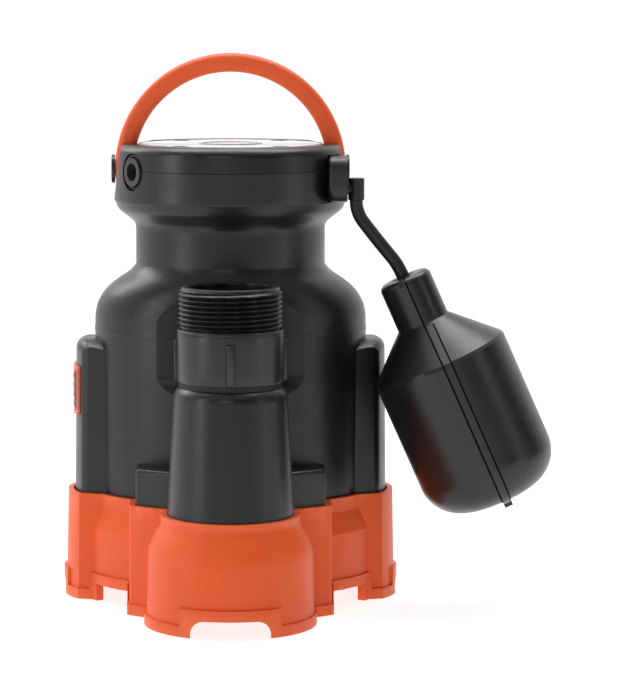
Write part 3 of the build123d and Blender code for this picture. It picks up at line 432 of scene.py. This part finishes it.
def bent_plate(y0, y1, z0, z1, r_in, r_out, corner, n=10):
    """A rounded rectangle wrapped on the left pad's cylinder, between two radii."""
    cx = -(76.4 - 38.0)
    ring = []
    for cy, cz, a0 in ((y1 - corner, z1 - corner, 0), (y0 + corner, z1 - corner, 90), (y0 + corner, z0 + corner, 180), (y1 - corner, z0 + corner, 270)):
        for k in range(n + 1):
            a = math.radians(a0 + 90.0 * k / n)
            ring.append((cy + corner * math.cos(a), cz + corner * math.sin(a)))
    rows_ = []
    ymid, zmid = (y0 + y1) / 2, (z0 + z1) / 2
    for r, shrink in ((r_in, 0.0), (r_out - 0.1, 0.0), (r_out, 0.12)):
        rows_.append([(r, ymid + (y - ymid) * (1 - shrink / (y1 - y0) * 2), zmid + (q - zmid) * (1 - shrink / (z1 - z0) * 2)) for y, q in ring])
    for s_ in (0.8, 0.6, 0.4, 0.2):
        rows_.append([(r_out, ymid + (y - ymid) * s_, zmid + (q - zmid) * s_) for y, q in ring])
    verts = []
    for row in rows_:
        for r, y, q in row:
            a = math.asin(max(-1.0, min(1.0, y / 38.0)))
            verts.append(((cx - r * math.cos(a)) * mm, r * math.sin(a) * mm, q * mm))
    m_ = len(ring)
    faces = []
    for i in range(len(rows_) - 1):
        for k in range(m_):
            j = (k + 1) % m_
            faces.append((i * m_ + k, (i + 1) * m_ + k, (i + 1) * m_ + j, i * m_ + j))
    faces.append(tuple((len(rows_) - 1) * m_ + k for k in range(m_)))
    faces.append(tuple(range(m_))[::-1])
    return verts, faces


def join(parts):
    verts, faces = [], []
    for v, f in parts:
        faces += [tuple(i + len(verts) for i in face) for face in f]
        verts += v
    return verts, faces


along("badge_field", bent_plate(-12.3, 12.3, 90.6, 111.2, 37.6, 38.62, 2.0), BLACK)
bars = [bent_plate(y0, y1, z0, z1, 38.4, 38.85, min(0.8, (y1 - y0) * 0.45, (z1 - z0) * 0.45), 5) for y0, y1, z0, z1 in
        ((-10.2, 10.2, 105.6, 109.2), (-10.2, -1.0, 101.2, 103.2), (1.0, 10.2, 101.2, 103.2), (-10.2, 10.2, 96.8, 98.8), (-10.2, 4.0, 92.6, 94.6))]
along("badge_strips", join(bars), BADGE)

FO, FT = Vector((82.6, -31.0, 158.0)), math.radians(24.0)
F_DOWN = Vector((math.sin(FT), 0.0, -math.cos(FT)))
F_SIDE = Vector((math.cos(FT), 0.0, math.sin(FT)))


def float_profile(top):
    """Height and radius down the float's outside, as one list of points."""
    pts = []
    if top < 23.0:
        pts += [(0.15, 8.0), (0.25, 10.0), (0.9, 11.6), (2.0, 12.45), (3.2, 12.75), (10.0, 12.75), (17.0, 12.75), (23.2, 12.75)]
    else:
        pts += [(top, 12.75 + (top - 23.5) * (33.2 - 12.75) / (43.0 - 23.5))]
    for k in range(1, 9):
        q = 24.6 + (42.4 - 24.6) * k / 8
        pts.append((q, 12.75 + (q - 23.5) * (33.2 - 12.75) / (43.0 - 23.5)))
    pts += [(43.8, 33.2)] + [(44.0 + (97.5 - 44.0) * k / 8, 33.2) for k in range(1, 9)]
    for k in range(1, 13):
        a = math.radians(90.0 * k / 12)
        pts.append((97.5 + 19.0 * math.sin(a), 14.2 + 19.0 * math.cos(a)))
    return pts


def seam_shade_strip(x0, x1, top, lift, sink, side):
    """A thin strip of painted seam shade between two lengthwise planes, following the float's outside on one side."""
    verts, faces = [], []
    rows_ = 0
    for q, r in float_profile(top):
        ring_ = []
        for rr, x in ((r + sink, x0), (r + lift, x0), (r + lift, x1), (r + sink, x1)):
            if rr <= abs(x) + 0.5:
                break
            y = side * math.sqrt(rr * rr - x * x)
            slope = 0.0 if q < 97.5 else (lift if rr == r + lift else sink) * math.sin(math.radians(90.0 * (q - 97.5) / 19.0))
            ring_.append(FO + F_SIDE * x + Vector((0, y, 0)) + F_DOWN * (q + slope))
        if len(ring_) == 4:
            verts += [v * mm for v in ring_]
            rows_ += 1
    for i in range(rows_ - 1):
        for k in range(4):
            j = (k + 1) % 4
            f = (i * 4 + k, i * 4 + j, i * 4 + 4 + j, i * 4 + 4 + k)
            faces.append(f if side < 0 else f[::-1])
    faces += [(3, 2, 1, 0), tuple((rows_ - 1) * 4 + k for k in range(4))]
    return verts, faces


def float_shade_lines(name, strips, mat):
    verts, faces = join(strips)
    me = bpy.data.meshes.new(name)
    me.from_pydata([tuple(v) for v in verts], [], faces)
    me.update()
    bm_ = bmesh.new()
    bm_.from_mesh(me)
    bmesh.ops.recalc_face_normals(bm_, faces=bm_.faces)
    bm_.to_mesh(me)
    bm_.free()
    me.materials.append(mat)
    o = bpy.data.objects.new(name, me)
    scene.collection.objects.link(o)
    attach(o, "float")


# Near-black strips along the float's shell seam and flange step: painted shade where the joint falls dark.
SEAM_PAINTED_SHADE = moulded("seam_shadow", (0.0016, 0.0016, 0.0016), 0.85, 0.05, 900.0, 0.02, 0.9, None, 0.05)
float_shade_lines("float_seam_painted_shade", [seam_shade_strip(-0.80, -0.02, 1.0, 0.10, -0.55, s_) for s_ in (-1, 1)]
            + [seam_shade_strip(3.38, 4.15, 24.6, 0.10, -0.55, s_) for s_ in (-1, 1)], SEAM_PAINTED_SHADE)

# ------------------------------------------------------------------ floor
bpy.ops.mesh.primitive_plane_add(size=240.0, location=(0, 0, -0.0004))
floor = bpy.context.object
floor.name = "floor"
fm, t, p = nt_of("studio_floor")
t.links.new(mix(t, remap(t, noise(t, 3.0, 2.0), 0, 1), (0.33, 0.33, 0.33), (0.35, 0.35, 0.35)), p.inputs["Base Color"])
p.inputs["Roughness"].default_value = 0.9
p.inputs["Specular IOR Level"].default_value = 0.0
p.inputs["Emission Color"].default_value = (1.0, 1.0, 1.0, 1.0)
p.inputs["Emission Strength"].default_value = 0.82
floor.data.materials.append(fm)
